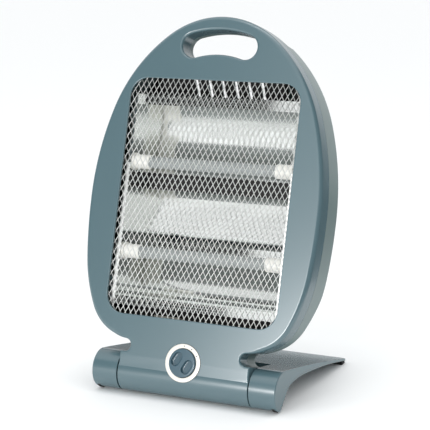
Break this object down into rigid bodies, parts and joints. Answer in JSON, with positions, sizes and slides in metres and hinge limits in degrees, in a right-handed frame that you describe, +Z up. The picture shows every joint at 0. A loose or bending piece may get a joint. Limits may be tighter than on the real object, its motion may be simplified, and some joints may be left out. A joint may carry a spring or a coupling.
{
  "type": "quartz heater",
  "caption": "Upright egg-shaped quartz heater with a handle hole, diamond-mesh grille, rotary power dial and a barrel-hinged foot plate.",
  "frame": {"origin": "Middle of the overall box at the level of the surface that the rubber feet stand on", "axes": "+Z up, -Y is the front with the grille and dial, +X to the right as seen from the front"},
  "size_m": [0.258, 0.2104, 0.3809],
  "materials": {
    "casing_plastic": "satin blue-grey moulded plastic with a faint metallic sheen",
    "rear_plastic": "satin grey moulded plastic, slightly warmer than the front",
    "foot_plastic": "satin grey moulded plastic",
    "knob_plastic": "smooth dark blue-grey plastic",
    "silver_trim": "silver-white painted trim",
    "black_plastic": "black moulded plastic",
    "nylon": "natural nylon",
    "black_rubber": "black rubber",
    "zinc_steel": "zinc-plated steel",
    "bright_wire": "bright plated steel strands",
    "bright_aluminium": "bright rolled aluminium sheet",
    "quartz_glass": "milky quartz glass",
    "heating_wire": "oxidised resistance wire",
    "white_ceramic": null
  },
  "bodies": {
    "foot": {"foot": "foot_plastic", "rubber_feet": "black_rubber", "hinge_pins": "zinc_steel", "disc_springs": "zinc_steel", "lock_nuts": "zinc_steel"},
    "casing": {"front_shell": "casing_plastic", "rear_shell": "rear_plastic", "grille": "bright_wire", "grille_screws": "zinc_steel", "reflector": "bright_aluminium", "left_cheek": "bright_aluminium", "right_cheek": "bright_aluminium", "cheek_screws": "zinc_steel", "upper_tube": "quartz_glass", "lower_tube": "quartz_glass", "upper_coil": "heating_wire", "lower_coil": "heating_wire", "ceramic_ends": "white_ceramic", "tube_terminals": "zinc_steel", "tube_clips": "zinc_steel", "hinge_bushes": "nylon", "dial_ring": "silver_trim", "selector_switch": "black_plastic", "switch_nut": "zinc_steel", "terminal_block": "nylon", "thermal_cutout": "black_plastic", "tip_over_switch": "black_plastic", "cord_gland": "black_plastic", "case_screws": "zinc_steel"},
    "knob": {"knob": "knob_plastic", "switch_shaft": "zinc_steel"}
  },
  "joints": [
    {"name": "casing_tilt", "type": "hinge", "parent": "foot", "child": "casing", "pos_m": [0, -0.08341, 0.0207], "axis": [-1, 0, 0], "range_deg": [-8, 18]},
    {"name": "knob_turn", "type": "hinge", "parent": "casing", "child": "knob", "pos_m": [0, -0.09869, 0.04118], "axis": [0, 0.9636, -0.2672], "range_deg": [-30, 30]}
  ]
}
